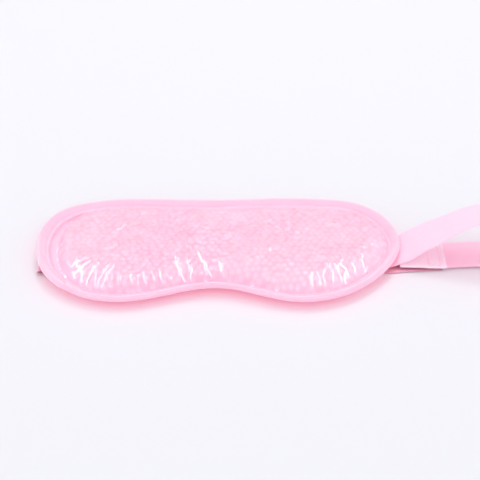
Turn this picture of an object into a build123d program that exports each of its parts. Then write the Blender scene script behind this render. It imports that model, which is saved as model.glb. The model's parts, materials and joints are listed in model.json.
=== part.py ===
from build123d import *
import os

# Gel-bead eye pillow with a hook-and-loop head strap, lying gel side up on its closed strap.
#
# Millimetres. The origin is the middle of the mask on the surface it rests on.
# +X runs along the mask to the end where the elastic strap leaves, +Y to the forehead edge,
# and +Z out of the gel face. The pack, panel and straps are soft, so each is a plain closed
# solid of the right size and place at rest.

# ---- Driving dimensions ------------------------------------------------------------------

# Outer edge of the mask, anticlockwise from the strap end. It is not quite symmetric: the
# left end is squarer than the right one, as a hand-sewn soft edge comes out.
OUTLINE = [
    (99.4, 5.0),  # strap end
    (95.0, 23.0),
    (81.0, 38.0),
    (58.0, 43.8),  # right brow
    (5.0, 42.8),  # middle of the forehead edge
    (-48.0, 43.6),  # left brow
    (-76.0, 39.6),
    (-95.0, 27.5),
    (-99.8, 8.0),  # far end
    (-95.5, -17.0),
    (-78.0, -36.6),
    (-50.0, -44.0),  # left cheek
    (-22.0, -37.0),
    (2.0, -33.3),  # nose notch
    (24.0, -39.8),
    (47.0, -44.0),  # right cheek
    (72.0, -35.8),
    (90.0, -18.5),
]
MASK_HALF_LENGTH = 100.0
OUTLINE_STATIONS = 28  # places round the edge where an inset outline is set off from it

# Stack at the rim, from the weld plane of the two films outwards
WELD_Z = 9.2
FILM = 0.3
PLUSH = 1.5  # plush squeezed flat inside the binding
BINDING = 0.8  # one leg of the folded binding
BINDING_FOLD = 0.9  # binding outside the edge of the layers it wraps
BINDING_WIDTH = 8.8
STITCH_FROM_LIP = 2.5
THREAD = 0.3

# Gel pack
PACK_INSET = 11.5  # edge of the mask to the edge of the fill
PACK_TOP = 13.4
PACK_BOTTOM = 2.7
PACK_ROUND = 4.6
FILL_GAP = 0.05

# Plush back panel
PLUSH_SIDE = 1.8
PLUSH_ROUND = 5.0
CHANNEL_DEPTH = 1.4  # pressed in by the strap that runs under the mask

# Straps
STRAP_WIDTH = 22.0
STRAP = 1.1  # thickness of the elastic and of the loop strap
STRAP_STATIONS = 24
TURN_GAP = 0.1  # clearance over the loop strap's turn
SWING_GAP = 0.45  # clearance between the elastic's sewn end and the root it swings from

ELASTIC_AXIS_X = 102.6
ELASTIC_SEWN_FROM_X = 90.6
ELASTIC_CREST = (150.0, 31.2)
ELASTIC_TURN_X = 170.0
ELASTIC_LAP_TO_X = 150.0  # left end of the bottom of the bend
LAP_GAP = 0.3  # clearance between the bend and the free end that runs on from it
FREE_END_FROM_X = 114.5
FREE_END_TO_X = 158.0
FREE_END_Z = 1.2

LOOP_Y = -4.5  # the loop strap is sewn on a little off the middle
LOOP_AXIS_X = -96.0
LOOP_SEWN_TO_X = -91.2
LOOP_END_X = 121.0

# Hook tape over the end of the elastic
HOOK_TAPE_X = (103.0, 124.0)
HOOK_TAPE = 0.8
HOOK_FIELD_TO_X = 113.5
HOOK_FIELD_WIDTH = 19.0
BOX_STITCH = (8.0, 18.0)  # along X, along Y
BOX_STITCH_FROM_END = 1.5

# Bar tacks on the underside of the sewn strap ends
TACK = (1.6, 18.0)
TACK_INSET = 0.7

# ---- Levels worked out from them ----------------------------------------------------------

FLANGE_TOP = WELD_Z + FILM
FLANGE_BOTTOM = WELD_Z - FILM
PLUSH_FLANGE_BOTTOM = FLANGE_BOTTOM - PLUSH
BINDING_TOP = FLANGE_TOP + BINDING
BINDING_BOTTOM = PLUSH_FLANGE_BOTTOM - BINDING
SEWN_TOP = BINDING_BOTTOM
SEWN_BOTTOM = SEWN_TOP - STRAP
TURN_RADIUS = (SEWN_BOTTOM - TURN_GAP) / 2  # outside of the loop strap's turn
FREE_END_TOP = FREE_END_Z + STRAP - 0.1
TAPE_BOTTOM = FREE_END_TOP + TURN_GAP
TAPE_TOP = TAPE_BOTTOM + HOOK_TAPE
HOOK_TIPS_Z = STRAP + 0.2  # hooks stop just over the loop pile


def beside(curve, distance, count):
    """Points set off to the left of a curve, evenly along it."""
    stations = [i / count for i in range(count + 1)]
    return [curve @ s + (curve % s).rotate(Axis.Z, 90) * distance for s in stations]


def mask_outline(inset):
    """The face inside the mask's outer edge, moved in by `inset`."""
    with BuildSketch(mode=Mode.PRIVATE) as face:
        with BuildLine():
            edge = Spline(*OUTLINE, periodic=True, mode=Mode.PRIVATE)
            Spline(*beside(edge, inset, OUTLINE_STATIONS)[:-1], periodic=True)
        make_face()
    return face.sketch


def pillow(inset, bottom, top, rounding):
    """A slab of the mask's outline whose top and bottom edges are rounded over."""
    with BuildPart(mode=Mode.PRIVATE) as slab:
        with BuildSketch(Plane.XY.offset(bottom)):
            add(mask_outline(inset))
        extrude(amount=top - bottom)
        rims = slab.edges().group_by(Axis.Z)
        fillet(rims[0] + rims[-1], radius=rounding)
    return slab.part


def sheet(inset, bottom, thickness):
    """A flat sheet of the mask's outline."""
    with BuildPart(mode=Mode.PRIVATE) as flat:
        with BuildSketch(Plane.XY.offset(bottom)):
            add(mask_outline(inset))
        extrude(amount=thickness)
    return flat.part


def finish(part, name):
    """Names a sub-part and writes its STEP file."""
    part.label = name
    export_step(part, f"parts/{name}.step")


os.makedirs("parts", exist_ok=True)

# ---- Gel pack: beads in their liquid, between two films welded at the rim -------------------

cavity = pillow(PACK_INSET, PACK_BOTTOM, PACK_TOP, PACK_ROUND)
pack_skin = pillow(PACK_INSET - FILM, PACK_BOTTOM - FILM, PACK_TOP + FILM, PACK_ROUND + FILM)

with BuildPart() as gel_bead_fill:
    add(
        pillow(
            PACK_INSET + FILL_GAP,
            PACK_BOTTOM + FILL_GAP,
            PACK_TOP - FILL_GAP,
            PACK_ROUND - FILL_GAP,
        )
    )
finish(gel_bead_fill.part, "gel_bead_fill")

with BuildPart() as front_film:
    add(pack_skin)
    split(bisect_by=Plane.XY.offset(WELD_Z), keep=Keep.TOP)
    add(sheet(BINDING_FOLD, WELD_Z, FILM))
    add(cavity, mode=Mode.SUBTRACT)
finish(front_film.part, "front_film")

with BuildPart() as back_film:
    add(pack_skin)
    split(bisect_by=Plane.XY.offset(WELD_Z), keep=Keep.BOTTOM)
    add(sheet(BINDING_FOLD, FLANGE_BOTTOM, FILM))
    add(cavity, mode=Mode.SUBTRACT)
finish(back_film.part, "back_film")

# ---- Plush back panel: a shallow dish under the pack, with the strap's channel --------------

with BuildPart() as plush_back_panel:
    add(pillow(PACK_INSET - FILM - PLUSH_SIDE, 0, PACK_TOP, PLUSH_ROUND))
    split(bisect_by=Plane.XY.offset(FLANGE_BOTTOM), keep=Keep.BOTTOM)
    add(sheet(BINDING_FOLD, PLUSH_FLANGE_BOTTOM, PLUSH))
    add(pack_skin, mode=Mode.SUBTRACT)
    with BuildSketch(Plane.YZ):
        with Locations((LOOP_Y, CHANNEL_DEPTH / 2)):
            Rectangle(STRAP_WIDTH + 3, CHANNEL_DEPTH)
    extrude(amount=MASK_HALF_LENGTH, both=True, mode=Mode.SUBTRACT)
finish(plush_back_panel.part, "plush_back_panel")

# ---- Edge binding: tape folded round the rim, and the thread that sews it --------------------

with BuildPart() as edge_binding:
    with BuildSketch(Plane.XY.offset(BINDING_BOTTOM)):
        add(mask_outline(0))
    extrude(amount=BINDING_TOP - BINDING_BOTTOM)
    outer_edges = edge_binding.edges().group_by(Axis.Z)
    fillet(outer_edges[0] + outer_edges[-1], radius=(BINDING_TOP - BINDING_BOTTOM) * 0.48)
    with BuildSketch(Plane.XY.offset(BINDING_BOTTOM)):
        add(mask_outline(BINDING_WIDTH))
    extrude(amount=BINDING_TOP - BINDING_BOTTOM, mode=Mode.SUBTRACT)
    with BuildSketch(Plane.XY.offset(PLUSH_FLANGE_BOTTOM)):
        add(mask_outline(BINDING_FOLD))
    extrude(amount=FLANGE_TOP - PLUSH_FLANGE_BOTTOM, mode=Mode.SUBTRACT)
finish(edge_binding.part, "edge_binding")


def thread_round_the_rim(bottom):
    """The run of stitching seen on one face of the binding."""
    inset = BINDING_WIDTH - STITCH_FROM_LIP
    with BuildPart(mode=Mode.PRIVATE) as thread:
        with BuildSketch(Plane.XY.offset(bottom)):
            add(mask_outline(inset - THREAD / 2))
            add(mask_outline(inset + THREAD / 2), mode=Mode.SUBTRACT)
        extrude(amount=THREAD)
    return thread.part


with BuildPart() as binding_needle_thread:
    add(thread_round_the_rim(BINDING_TOP))
finish(binding_needle_thread.part, "binding_needle_thread")

with BuildPart() as binding_bobbin_thread:
    add(thread_round_the_rim(BINDING_BOTTOM - THREAD))
finish(binding_bobbin_thread.part, "binding_bobbin_thread")

# ---- Strap ends sewn under the binding ------------------------------------------------------


def sewn_end(from_x, to_x, y):
    """A flat length of strap under the binding."""
    with BuildPart(mode=Mode.PRIVATE) as end:
        with BuildSketch(Plane.XY.offset(SEWN_BOTTOM)):
            with Locations(((from_x + to_x) / 2, y)):
                Rectangle(to_x - from_x, STRAP_WIDTH)
        extrude(amount=STRAP)
    return end.part


def bar_tack(x, y):
    """A close zigzag of thread across the strap, on its underside."""
    with BuildPart(mode=Mode.PRIVATE) as tack:
        with BuildSketch(Plane.XY.offset(SEWN_BOTTOM - THREAD)):
            with Locations((x, y)):
                SlotOverall(TACK[1], TACK[0], rotation=90)
        extrude(amount=THREAD)
    return tack.part


elastic_axis_z = SEWN_BOTTOM + STRAP / 2
elastic_root = STRAP / 2

with BuildPart() as elastic_strap_sewn_end:
    add(sewn_end(ELASTIC_SEWN_FROM_X, ELASTIC_AXIS_X - elastic_root - SWING_GAP, 0))
finish(elastic_strap_sewn_end.part, "elastic_strap_sewn_end")

with BuildPart() as elastic_strap_bar_tack:
    add(bar_tack(ELASTIC_SEWN_FROM_X + TACK_INSET + TACK[0] / 2, 0))
finish(elastic_strap_bar_tack.part, "elastic_strap_bar_tack")

with BuildPart() as loop_strap_sewn_end:
    add(sewn_end(LOOP_AXIS_X - TURN_RADIUS, LOOP_SEWN_TO_X, LOOP_Y))
finish(loop_strap_sewn_end.part, "loop_strap_sewn_end")

with BuildPart() as loop_strap_bar_tack:
    add(bar_tack(LOOP_SEWN_TO_X - TACK_INSET - TACK[0] / 2, LOOP_Y))
finish(loop_strap_bar_tack.part, "loop_strap_bar_tack")

# ---- Elastic strap: up and over from the rim, round its bend and back along the table --------

lap_z = TAPE_BOTTOM + LAP_GAP + STRAP / 2

with BuildPart() as elastic_strap:
    with BuildSketch(Plane.XZ):
        with BuildLine():
            run = Spline(
                (ELASTIC_AXIS_X, elastic_axis_z),
                (112.0, 11.8),
                (129.0, 24.4),
                ELASTIC_CREST,
                (ELASTIC_TURN_X, (ELASTIC_CREST[1] + lap_z) / 2),
                (ELASTIC_LAP_TO_X, lap_z),
                tangents=[(1, 0.1), (-1, 0)],
                mode=Mode.PRIVATE,
            )
            over = Spline(*beside(run, STRAP / 2, STRAP_STATIONS))
            below = Spline(*beside(run, -STRAP / 2, STRAP_STATIONS))
            root = run @ 0 - (run % 0) * STRAP / 2
            ThreePointArc(over @ 0, root, below @ 0)
            Line(over @ 1, below @ 1)
        make_face()
    extrude(amount=STRAP_WIDTH / 2, both=True)
finish(elastic_strap.part, "elastic_strap")

with BuildPart() as elastic_strap_free_end:
    with BuildSketch(Plane.XY.offset(FREE_END_Z)):
        with Locations(((FREE_END_FROM_X + FREE_END_TO_X) / 2, 0)):
            Rectangle(FREE_END_TO_X - FREE_END_FROM_X, STRAP_WIDTH)
    extrude(amount=FREE_END_TOP - FREE_END_Z)
finish(elastic_strap_free_end.part, "elastic_strap_free_end")

# ---- Hook tape: lapped over the end of the elastic, its hooks facing the loop pile -----------

with BuildPart() as hook_tape:
    with BuildSketch(Plane.XY.offset(TAPE_BOTTOM)):
        with Locations((sum(HOOK_TAPE_X) / 2, 0)):
            Rectangle(HOOK_TAPE_X[1] - HOOK_TAPE_X[0], STRAP_WIDTH)
    extrude(amount=HOOK_TAPE)
    with BuildSketch(Plane.XY.offset(HOOK_TIPS_Z)):
        with Locations(((HOOK_TAPE_X[0] + HOOK_FIELD_TO_X) / 2, 0)):
            Rectangle(HOOK_FIELD_TO_X - HOOK_TAPE_X[0], HOOK_FIELD_WIDTH)
    extrude(amount=TAPE_BOTTOM - HOOK_TIPS_Z)
finish(hook_tape.part, "hook_tape")

with BuildPart() as hook_tape_box_stitch:
    with BuildSketch(Plane.XY.offset(TAPE_TOP)):
        with Locations((HOOK_TAPE_X[1] - BOX_STITCH_FROM_END - BOX_STITCH[0] / 2, 0)):
            Rectangle(*BOX_STITCH)
            Rectangle(BOX_STITCH[0] - 2 * THREAD, BOX_STITCH[1] - 2 * THREAD, mode=Mode.SUBTRACT)
    extrude(amount=THREAD)
finish(hook_tape_box_stitch.part, "hook_tape_box_stitch")

# ---- Loop strap: turns under the far end of the mask and runs beneath it to the hook tape ----

with BuildPart() as loop_strap:
    with BuildSketch(Plane.XZ.offset(-LOOP_Y)):
        with Locations((LOOP_AXIS_X, TURN_RADIUS)):
            Circle(TURN_RADIUS)
            Circle(TURN_RADIUS - STRAP, mode=Mode.SUBTRACT)
        with Locations((LOOP_AXIS_X, 0)):
            Rectangle(
                TURN_RADIUS, 2 * TURN_RADIUS, align=(Align.MIN, Align.MIN), mode=Mode.SUBTRACT
            )
            Rectangle(LOOP_END_X - LOOP_AXIS_X, STRAP, align=(Align.MIN, Align.MIN))
    extrude(amount=STRAP_WIDTH / 2, both=True)
finish(loop_strap.part, "loop_strap")
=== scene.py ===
import json
import math
from collections import namedtuple

import bmesh
import bpy
import numpy as np
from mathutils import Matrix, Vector
from mathutils.bvhtree import BVHTree
from mathutils.kdtree import KDTree


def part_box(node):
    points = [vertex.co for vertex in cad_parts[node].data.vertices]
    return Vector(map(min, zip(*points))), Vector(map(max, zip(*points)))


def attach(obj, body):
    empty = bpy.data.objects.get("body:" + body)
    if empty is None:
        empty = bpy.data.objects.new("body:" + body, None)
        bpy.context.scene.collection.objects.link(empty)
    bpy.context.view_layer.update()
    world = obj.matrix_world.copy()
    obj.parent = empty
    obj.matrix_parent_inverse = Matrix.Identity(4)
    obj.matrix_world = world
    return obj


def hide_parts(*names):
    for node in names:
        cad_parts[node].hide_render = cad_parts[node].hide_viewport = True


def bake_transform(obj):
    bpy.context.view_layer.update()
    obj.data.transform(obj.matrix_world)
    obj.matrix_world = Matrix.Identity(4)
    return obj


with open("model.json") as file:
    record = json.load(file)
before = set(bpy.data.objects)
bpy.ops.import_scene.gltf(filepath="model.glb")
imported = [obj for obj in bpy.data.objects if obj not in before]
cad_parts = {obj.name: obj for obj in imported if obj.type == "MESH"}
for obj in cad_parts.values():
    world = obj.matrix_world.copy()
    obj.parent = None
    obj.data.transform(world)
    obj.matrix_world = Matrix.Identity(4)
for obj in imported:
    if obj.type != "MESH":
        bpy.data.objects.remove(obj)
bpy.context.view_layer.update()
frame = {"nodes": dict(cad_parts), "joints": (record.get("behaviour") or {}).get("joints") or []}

# A gel-bead eye pillow built round its CAD frame. Shapes are worked out in millimetres in the
# frame's own axes, and mesh_piece() turns them into metres.

MM = 0.001

# ---- Sizes (mm) -----------------------------------------------------------------------------

RIM_STATIONS = 1000  # places round the mask's edge
RIM_WAVES = 40  # how fine a detail of the edge is followed
RIM_LOW = 2.0  # how far the soft rim hangs below its place in the CAD
RIM_SLOPE = 0.025  # the far edge of the mask lies a little higher than the near edge
TILT_ENDS, TILT_NEAR, TILT_FAR, TILT_NOTCH = 33, 1, -10, 7  # degrees the bound edge dishes up
BINDING_WIDTH = 7.8  # at the far edge
NARROWER = 1.2  # how much narrower the tape shows elsewhere
BINDING_HALF = 1.5  # half its thickness
BINDING_NOSE = 1.6
LIP = 0.6  # rounding of its inner edge
LIP_RISE = 0.8  # how far the pack pushes the lip open
FILM_LIFT = 0.4  # the front film above the middle of the tape
STITCH_INSET = 5.3
STITCH_PITCH = 3.0
STITCH_LENGTH = 2.3
THREAD_RADIUS = 0.17

GRID_STEP = 0.5
FILM_EDGE = 2.6  # inset of the films' hidden edge inside the binding
FILM_THICKNESS = 0.22
PACK_START = 7.3  # inset where the pack starts to rise, just under the lip
PACK_SIDE = 13.0
PACK_SWELL = 2.3  # how round its side is
BARE_FLANGE = 6.5  # extra film without beads at the far end
PACK_TOP = 12.9
PACK_CROWN = 0.8

BEAD_PITCH = 3.5
BEAD_RADIUS = 1.76
BEAD_HEIGHT = 1.5
BEAD_SIZES = 0.84, 1.08  # the smallest and largest beads beside the usual one
BEAD_FIELD = 102, 46  # half the length and width of the field that they are laid in
BEAD_RELIEF = 0.15  # how far the film follows each bead

SLACK = 0.03  # spare length of the film over the beads
SLACK_STEP = 1.5
SLACK_CAP = 0.7


# ---- Frame ----------------------------------------------------------------------------------


def node_span(node):
    """Lowest and highest corner of a CAD node, in mm."""
    low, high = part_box(node)
    return np.array(low) / MM, np.array(high) / MM


def unit(vectors):
    """Rows scaled to length 1."""
    return vectors / np.maximum(np.linalg.norm(vectors, axis=-1, keepdims=True), 1e-9)


def run_along(line):
    """How far along a line each of its points lies."""
    return np.concatenate([[0], np.cumsum(np.linalg.norm(np.diff(line, axis=0), axis=1))])


def values_at(places, run, rows):
    """Rows of numbers that belong to a line's points, read at some distances along it."""
    return np.stack([np.interp(places, run, column) for column in rows.T], axis=1)


def read_rim():
    """The mask's outer edge off the CAD binding, as even stations anticlockwise from +X."""
    binding = frame["nodes"]["edge_binding"]
    tree = BVHTree.FromObject(binding, bpy.context.evaluated_depsgraph_get())
    low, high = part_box("edge_binding")
    level = (low.z + high.z) / 2
    edge = []
    for angle in np.linspace(0, math.tau, 1440, endpoint=False):
        out = Vector((math.cos(angle), math.sin(angle), 0))
        hit = tree.ray_cast(out * 0.3 + Vector((0, 0, level)), -out)[0]
        edge.append((hit.x / MM, hit.y / MM))
    edge = np.array(edge)
    closed = np.vstack([edge, edge[:1]])
    run = run_along(closed)
    x, y = values_at(np.linspace(0, run[-1], RIM_STATIONS, endpoint=False), run, closed).T
    wave = np.fft.fft(x + 1j * y)
    wave[RIM_WAVES:-RIM_WAVES] = 0
    smooth_edge = np.fft.ifft(wave)
    edge = np.stack([smooth_edge.real, smooth_edge.imag], axis=1)
    along = unit(np.roll(edge, -1, axis=0) - np.roll(edge, 1, axis=0))
    return edge, np.stack([-along[:, 1], along[:, 0]], axis=1), run[-1]


RIM, INWARD, RIM_LENGTH = read_rim()
RIM_MID = sum(corner[2] for corner in node_span("edge_binding")) / 2


# Points in plan with their nearest rim station. Their inset is measured from the edge, and set
# so that it is BINDING_WIDTH at the tape's inner edge all the way round.
Plan = namedtuple("Plan", "x y inset station")


def plan_at(x, y):
    """Points in plan with their nearest rim station and how far inside the edge they are."""
    points = np.stack([np.ravel(x), np.ravel(y)], axis=1)
    station = np.empty(len(points), int)
    for part in np.array_split(np.arange(len(points)), max(1, len(points) // 4000)):
        gap = ((points[part, None, :] - RIM[None, :, :]) ** 2).sum(-1)
        station[part] = gap.argmin(1)
    inset = ((points - RIM[station]) * INWARD[station]).sum(1) + TRIM[station]
    return Plan(points[:, 0], points[:, 1], inset, station)


# ---- Shape helpers --------------------------------------------------------------------------


def ease(t):
    """0 to 1 with a soft start and end."""
    t = np.clip(t, 0, 1)
    return t * t * (3 - 2 * t)


def waves(x, y, length, seed, count=7):
    """Smooth seeded noise, about -1 to 1, with features about `length` mm across."""
    rng = np.random.default_rng(seed)
    total = 0
    for _ in range(count):
        angle, phase = rng.uniform(0, math.tau, 2)
        pitch = math.tau / (length * rng.uniform(0.7, 1.5))
        total = total + np.sin(pitch * (x * math.cos(angle) + y * math.sin(angle)) + phase)
    return total / (1.4 * math.sqrt(count))


def grid_faces(rows, columns, wrap_rows=False, wrap_columns=False):
    """Quads over a grid of points stored row by row."""
    row = np.arange(rows if wrap_rows else rows - 1)
    column = np.arange(columns if wrap_columns else columns - 1)
    row, column = np.meshgrid(row, column, indexing="ij")
    next_row, next_column = (row + 1) % rows, (column + 1) % columns
    corners = [
        row * columns + column,
        next_row * columns + column,
        next_row * columns + next_column,
        row * columns + next_column,
    ]
    return np.stack(corners, axis=-1).reshape(-1, 4)


def mesh_piece(name, shape, material, body=None, replaces=()):
    """A mesh object from points in mm and faces, with its material and CAD body."""
    points, faces = shape
    mesh = bpy.data.meshes.new(name)
    mesh.from_pydata((points * MM).tolist(), [], faces.tolist())
    mesh.validate()
    mesh.shade_smooth()
    mesh.materials.append(material)
    piece = bpy.data.objects.new(name, mesh)
    bpy.context.scene.collection.objects.link(piece)
    outward = bmesh.new()
    outward.from_mesh(mesh)
    bmesh.ops.recalc_face_normals(outward, faces=outward.faces)
    outward.to_mesh(mesh)
    outward.free()
    if body:
        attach(piece, body)
    if replaces:
        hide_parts(*replaces)
    return piece


def plan_grid(edge_inset, step):
    """A square grid in plan cut to the mask's outline moved in by edge_inset, its border pulled
    onto that line, and its quads."""
    xs = np.arange(RIM[:, 0].min() - step, RIM[:, 0].max() + step, step)
    ys = np.arange(RIM[:, 1].min() - step, RIM[:, 1].max() + step, step)
    x, y = [a.ravel() for a in np.meshgrid(xs, ys, indexing="ij")]
    plan = plan_at(x, y)
    quads = grid_faces(len(xs), len(ys))
    quads = quads[(plan.inset[quads] > edge_inset - step * 0.45).all(axis=1)]
    used, renamed = np.unique(quads, return_inverse=True)
    quads = renamed.reshape(-1, 4)
    x, y, inset, station = [a[used] for a in plan]
    border = np.unique(border_edges(quads))
    pull = (edge_inset - inset[border])[:, None] * INWARD[station[border]]
    x[border] += pull[:, 0]
    y[border] += pull[:, 1]
    inset[border] = edge_inset
    return Plan(x, y, inset, station), quads


def border_edges(quads):
    """Directed edges that belong to one quad only."""
    edges = np.concatenate([quads[:, [i, (i + 1) % 4]] for i in range(4)])
    key = np.sort(edges, axis=1)
    _, index, count = np.unique(key, axis=0, return_index=True, return_counts=True)
    return edges[index[count == 1]]


def closed_pad(plan, quads, top, bottom):
    """A closed body between two height fields over the same grid."""
    count = len(plan.x)
    points = [np.stack([plan.x, plan.y, level], 1) for level in (top, bottom)]
    rim = border_edges(quads)
    walls = np.stack([rim[:, 0], rim[:, 1], rim[:, 1] + count, rim[:, 0] + count], axis=1)
    return np.concatenate(points), np.concatenate([quads, quads[:, ::-1] + count, walls])


def join_meshes(parts):
    """Several (points, faces) as one."""
    starts = np.cumsum([0] + [len(points) for points, _ in parts[:-1]])
    points = np.concatenate([points for points, _ in parts])
    return points, np.concatenate([faces + start for (_, faces), start in zip(parts, starts)])


def copies(points, faces):
    """Many copies of a shape as one mesh, from the points of each and the faces of the first."""
    offset = np.arange(len(points)) * (points[0].size // 3)
    faces = faces + offset[:, None, None]
    return points.reshape(-1, 3), faces.reshape(-1, faces.shape[-1])


def stitches(starts, ends, up, radius=THREAD_RADIUS):
    """Short runs of thread, each arched over the cloth with its ends sunk in it."""
    starts, ends, up = [np.asarray(a, float) for a in (starts, ends, up)]
    steps, sides = 7, 6
    t = np.linspace(0, 1, steps)
    side = unit(np.cross(up, ends - starts))
    lift = radius * (1.3 * np.sin(math.pi * t) - 0.5)
    middle = starts[:, None] + (ends - starts)[:, None] * t[:, None] + up[:, None] * lift[:, None]
    thick = radius * np.clip(2.4 * np.sin(math.pi * (0.06 + 0.88 * t)), 0.1, 1)
    turn = np.arange(sides) * math.tau / sides
    ring = side[:, None] * np.cos(turn)[:, None] + up[:, None] * np.sin(turn)[:, None]
    points = middle[:, :, None] + ring[:, None] * thick[:, None, None]
    caps = np.array([[0, 1, 2, 3], [0, 3, 4, 5]])
    last_ring = (steps - 1) * sides
    return copies(points, np.concatenate([grid_faces(steps, sides, False, True), caps, caps + last_ring]))


def stitch_row(line, up, pitch=STITCH_PITCH, length=STITCH_LENGTH):
    """A row of stitches along a line of points, each with its outward direction."""
    line, up = np.asarray(line, float), np.broadcast_to(np.asarray(up, float), np.shape(line))
    run = run_along(line)
    count = max(1, round((run[-1] - length) / pitch) + 1)
    first = np.linspace(0, run[-1] - length, count)
    starts, ends = values_at(first, run, line), values_at(first + length, run, line)
    return stitches(starts, ends, unit(values_at(first + length / 2, run, up)))


def tufts(roots, out, length, width, seed):
    """Short tapering fibres standing on a cloth."""
    rng = np.random.default_rng(seed)
    count = len(roots)
    lean = unit(np.broadcast_to(out, (count, 3)) + rng.normal(0, 0.45, (count, 3)))
    side = unit(np.cross(lean, rng.normal(0, 1, (count, 3))))
    other = np.cross(lean, side)
    tip = roots + lean * (length * rng.uniform(0.6, 1.1, count))[:, None]
    base = [
        roots + width * (side * math.cos(turn) + other * math.sin(turn))
        for turn in np.arange(3) * math.tau / 3
    ]
    points = np.stack([*base, tip], axis=1)
    return copies(points, np.array([[0, 1, 3], [1, 2, 3], [2, 0, 3], [0, 2, 1]]))


def settle_cloth(points, faces, held, pressure, cap, slack=0.0):
    """How far each point of a cloth held at some of its points moves as the cloth solver lets it
    settle, in mm, never further than the cap."""
    points = np.asarray(points, float)
    scene = bpy.context.scene
    mesh = bpy.data.meshes.new("settling")
    mesh.from_pydata((points * MM).tolist(), [], np.asarray(faces).tolist())
    piece = bpy.data.objects.new("settling", mesh)
    scene.collection.objects.link(piece)
    group = piece.vertex_groups.new(name="held")
    group.add(np.flatnonzero(held).tolist(), 1.0, "REPLACE")
    cloth = piece.modifiers.new("cloth", "CLOTH")
    cloth.settings.vertex_group_mass = "held"
    cloth.settings.quality = 6
    cloth.settings.mass = 0.15
    cloth.settings.tension_stiffness = 15
    cloth.settings.compression_stiffness = 15
    cloth.settings.bending_stiffness = 0.2
    cloth.settings.use_pressure = pressure > 0
    cloth.settings.uniform_pressure_force = pressure
    cloth.settings.shrink_min = -slack
    cloth.settings.effector_weights.gravity = 0
    cloth.collision_settings.use_collision = False
    for number in range(1, 21):
        scene.frame_set(number)
    settled = piece.evaluated_get(bpy.context.evaluated_depsgraph_get()).data
    after = np.empty(len(points) * 3)
    settled.vertices.foreach_get("co", after)
    move = after.reshape(-1, 3) / MM - points
    bpy.data.objects.remove(piece)
    scene.frame_set(1)
    reach = np.linalg.norm(move, axis=1, keepdims=True)
    return move * np.minimum(1, cap / np.maximum(reach, 1e-6))


# ---- Materials ------------------------------------------------------------------------------

FILM_HAZE = 0.42, 0.60  # how milky the film is, from its clear patches to its cloudy ones
BEAD_FROST = 0.11  # how much milkier it looks where a bead presses against it
FLAT_GLOSS, CREASE_GLOSS = 0.12, 2.4  # its shine where it is taut, and the extra shine painted along creases
THIN_GLOW, THICK_GLOW = 0.12, 0.42  # strength of the pink glow painted on thin and thick cloth


def new_material(name):
    """A node material, its tree and its Principled shader."""
    material = bpy.data.materials.new(name)
    material.use_nodes = True
    return material, material.node_tree, material.node_tree.nodes["Principled BSDF"]


def set_input(tree, socket, value):
    """Gives a node's input a number or a colour, or links it to the output that feeds it."""
    if isinstance(value, bpy.types.NodeSocket):
        tree.links.new(value, socket)
    else:
        socket.default_value = (*value, 1) if socket.type == "RGBA" else value


def set_inputs(tree, node, **values):
    """Sets a node's inputs by name, with _ for a space."""
    for name, value in values.items():
        set_input(tree, node.inputs[name.replace("_", " ")], value)


def add_node(tree, kind, **settings):
    """A node. Settings in small letters are its properties, and the others its inputs."""
    node = tree.nodes.new(kind)
    for name, value in settings.items():
        if name.islower():
            setattr(node, name, value)
        else:
            set_inputs(tree, node, **{name: value})
    return node


def maths(tree, operation, *values, clamp=False):
    """The output of a maths node fed with some values."""
    node = add_node(tree, "ShaderNodeMath", operation=operation, use_clamp=clamp)
    for socket, value in zip(node.inputs, values):
        set_input(tree, socket, value)
    return node.outputs[0]


def map_range(tree, value, from_min, from_max, to_min=0.0, to_max=1.0):
    """A value moved from one range onto another."""
    ends = dict(From_Min=from_min, From_Max=from_max, To_Min=to_min, To_Max=to_max)
    return add_node(tree, "ShaderNodeMapRange", Value=value, **ends).outputs["Result"]


def mix_colours(tree, factor, first, second):
    """A colour between two others."""
    mix = add_node(tree, "ShaderNodeMix", data_type="RGBA", Factor=factor, A=first, B=second)
    return mix.outputs["Result"]


def mix_shaders(tree, factor, first, second):
    """A shader between two others."""
    mix = add_node(tree, "ShaderNodeMixShader")
    for socket, value in zip(mix.inputs, (factor, first.outputs[0], second.outputs[0])):
        set_input(tree, socket, value)
    return mix


def noise_colour(tree, low, high, scale):
    """A colour that wanders between two colours at a given scale (per metre)."""
    place = add_node(tree, "ShaderNodeTexCoord").outputs["Object"]
    noise = add_node(tree, "ShaderNodeTexNoise", Vector=place, Scale=scale, Detail=3)
    return mix_colours(tree, noise.outputs["Fac"], low, high)


def knit_height(tree, pitch):
    """Fine crossing ribs, as a knitted or woven cloth has, at a pitch in mm."""
    place = add_node(tree, "ShaderNodeTexCoord").outputs["Object"]
    ribs = []
    for turn in (0, math.pi / 2):
        spin = add_node(tree, "ShaderNodeMapping", Vector=place, Rotation=(0, 0, turn))
        rib = add_node(tree, "ShaderNodeTexWave", Vector=spin.outputs[0], Distortion=0.6)
        set_inputs(tree, rib, Scale=math.tau / (pitch * MM) / 20, Detail_Scale=4)
        ribs.append(rib.outputs["Fac"])
    return maths(tree, "ADD", *ribs)


def paint_pink_glow(tree, shader, colour, strength):
    """A painted pink glow, seen only by diffuse rays, that tints what lies beside and below thin soft
    goods.
    """
    diffuse = add_node(tree, "ShaderNodeLightPath").outputs["Is Diffuse Ray"]
    glow = maths(tree, "MULTIPLY", diffuse, strength)
    set_inputs(tree, shader, Emission_Color=colour, Emission_Strength=glow)


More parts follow.
